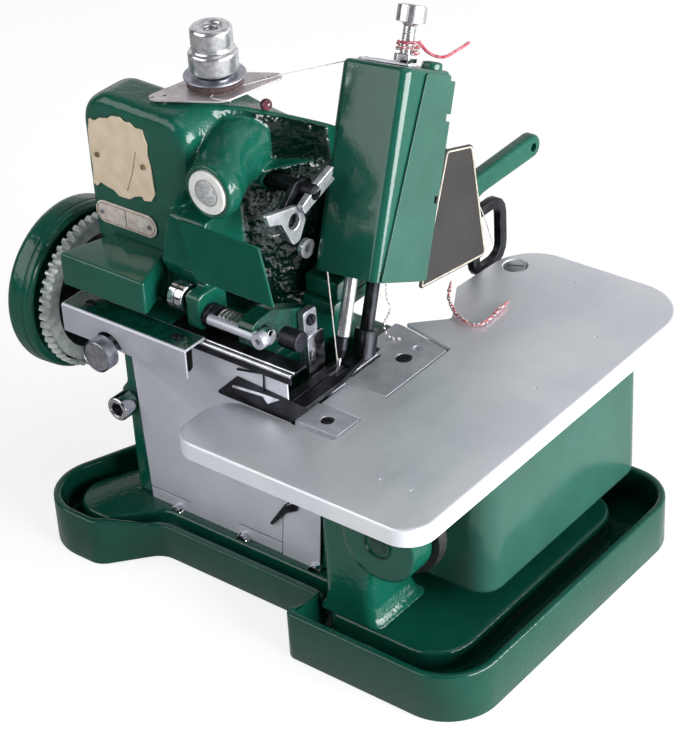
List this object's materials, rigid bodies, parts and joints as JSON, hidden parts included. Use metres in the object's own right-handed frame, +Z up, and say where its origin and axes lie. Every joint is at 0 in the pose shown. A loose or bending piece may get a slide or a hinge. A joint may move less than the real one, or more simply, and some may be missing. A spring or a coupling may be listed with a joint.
{
  "type": "overlock sewing machine",
  "caption": "Small cast-iron overlock serger on a base tray, with a swing-away cloth plate, a tilted head, a handwheel and a foot lifter.",
  "frame": {"origin": "centre of the footprint, on the surface that the base tray stands on", "axes": "+Z up; the operator stands at -Y; +X towards the cloth plate's free end; the handwheel is at -X"},
  "size_m": [0.3, 0.264, 0.2686],
  "materials": {
    "green_enamel": "glossy green machine enamel on cast iron",
    "green_sheet": "glossy green enamel on sheet steel",
    "brushed_sheet": "brushed sheet, satin",
    "ground_steel": "ground and lightly oiled",
    "blued_steel": "dark oiled steel",
    "chrome_plate": "bright chrome",
    "spring_wire": "plain spring wire",
    "alloy_disc": "turned, satin",
    "etched_brass": "bare brass sheet",
    "turned_brass": "turned bearing brass",
    "black_lacquer": "black lacquer with a pale border",
    "brown_felt": "pressed wool felt",
    "black_rubber": "oil-proof rubber",
    "white_ring": "white moulded ring",
    "sight_glass": "clear domed glass"
  },
  "bodies": {
    "body": {"base_tray": "green_enamel", "front_leg": "green_enamel", "leg_seal": "black_rubber", "feed_shaft": "ground_steel", "machine_frame": "green_enamel", "shaft_bush": "turned_brass", "pivot_screw": "ground_steel", "plate_bracket": "green_enamel", "needle_plate": "ground_steel", "slide_plate": "ground_steel", "side_cover": "green_sheet", "front_cover": "brushed_sheet", "lower_cover": "brushed_sheet", "front_rail": "brushed_sheet", "knife_bed": "ground_steel", "socket_screw": "chrome_plate", "shaft_hood": "green_sheet", "brass_plate": "etched_brass", "oval_plate": "alloy_disc", "tag_plate": "black_lacquer", "oil_cover": "green_sheet", "window_ring": "white_ring", "window_glass": "sight_glass", "tension_plate": "ground_steel", "tension_stud": "ground_steel", "tension_felt": "brown_felt", "tension_disc": "alloy_disc", "head_casing": "green_sheet", "head_frame": "green_enamel", "presser_spring": "spring_wire", "thread_guide": "ground_steel", "knife_rod": "chrome_plate", "lower_knife": "chrome_plate", "knife_spring": "spring_wire", "spring_collar": "blued_steel", "lifter_pin": "ground_steel", "rear_bracket": "blued_steel"},
    "wheel": {"handwheel": "green_enamel", "toothed_ring": "ground_steel", "main_shaft": "ground_steel"},
    "plate": {"cloth_plate": "brushed_sheet"},
    "needle_slide": {"needle_bar": "chrome_plate", "needle_clamp": "blued_steel", "needle": "chrome_plate"},
    "needle_lever": {"rocker_shaft": "ground_steel", "needle_crank": "chrome_plate", "needle_link": "chrome_plate"},
    "knife": {"knife_arm": "green_enamel", "knife_holder": "ground_steel", "upper_knife": "chrome_plate"},
    "feed": {"feed_dog": "ground_steel"},
    "presser": {"presser_bar": "chrome_plate", "presser_foot": "ground_steel"},
    "lifter": {"lifter_lever": "green_enamel"},
    "pressure": {"pressure_screw": "chrome_plate"},
    "tension": {"tension_nut": "chrome_plate"},
    "knob": {"cover_knob": "brushed_sheet"},
    "thumb": {"thumb_nut": "chrome_plate"}
  },
  "joints": [
    {"name": "wheel_turn", "type": "hinge", "parent": "body", "child": "wheel", "pos_m": [-0.12, -0.06, 0.1134], "axis": [1, 0, 0], "continuous": true},
    {"name": "plate_swing", "type": "hinge", "parent": "body", "child": "plate", "pos_m": [0.03, 0.088, 0.104], "axis": [0, 0, 1], "range_deg": [0, 60]},
    {"name": "needle_stroke", "type": "slide", "parent": "body", "child": "needle_slide", "axis": [-0.0906, 0.4177, 0.904], "range_m": [-0.004, 0.018]},
    {"name": "lever_rock", "type": "hinge", "parent": "body", "child": "needle_lever", "pos_m": [0, -0.034, 0.194], "axis": [1, 0, 0], "range_deg": [-5, 21]},
    {"name": "knife_rock", "type": "hinge", "parent": "body", "child": "knife", "pos_m": [0, -0.081, 0.1402], "axis": [1, 0, 0], "range_deg": [-3, 12]},
    {"name": "feed_stroke", "type": "slide", "parent": "body", "child": "feed", "axis": [0, 1, 0], "range_m": [-0.0006, 0.0024]},
    {"name": "lifter_turn", "type": "hinge", "parent": "body", "child": "lifter", "pos_m": [0.013, 0.052, 0.144], "axis": [1, 0, 0], "range_deg": [-9.2, 0]},
    {"name": "presser_lift", "type": "slide", "parent": "body", "child": "presser", "axis": [-0.0906, 0.4177, 0.904], "range_m": [0, 0.0056]},
    {"name": "pressure_turn", "type": "hinge", "parent": "body", "child": "pressure", "pos_m": [0.00311, 0.0377, 0.23997], "axis": [-0.0906, 0.4177, 0.904], "range_deg": [-1080, 1080]},
    {"name": "tension_turn", "type": "hinge", "parent": "body", "child": "tension", "pos_m": [-0.054, -0.0375, 0.256], "axis": [0, 0, 1], "range_deg": [-1080, 1080]},
    {"name": "knob_turn", "type": "hinge", "parent": "body", "child": "knob", "pos_m": [-0.076, -0.11, 0.119], "axis": [0, 1, 0], "range_deg": [-720, 720]},
    {"name": "thumb_turn", "type": "hinge", "parent": "body", "child": "thumb", "pos_m": [-0.044, -0.084, 0.1478], "axis": [1, 0, 0], "range_deg": [-720, 720]}
  ],
  "couplings": [
    {"joint": "lever_rock", "follows": "needle_stroke", "rad_per_m": 20},
    {"joint": "knife_rock", "follows": "needle_stroke", "rad_per_m": 11},
    {"joint": "feed_stroke", "follows": "needle_stroke", "ratio": 0.12},
    {"joint": "presser_lift", "follows": "lifter_turn", "m_per_rad": -0.034}
  ]
}
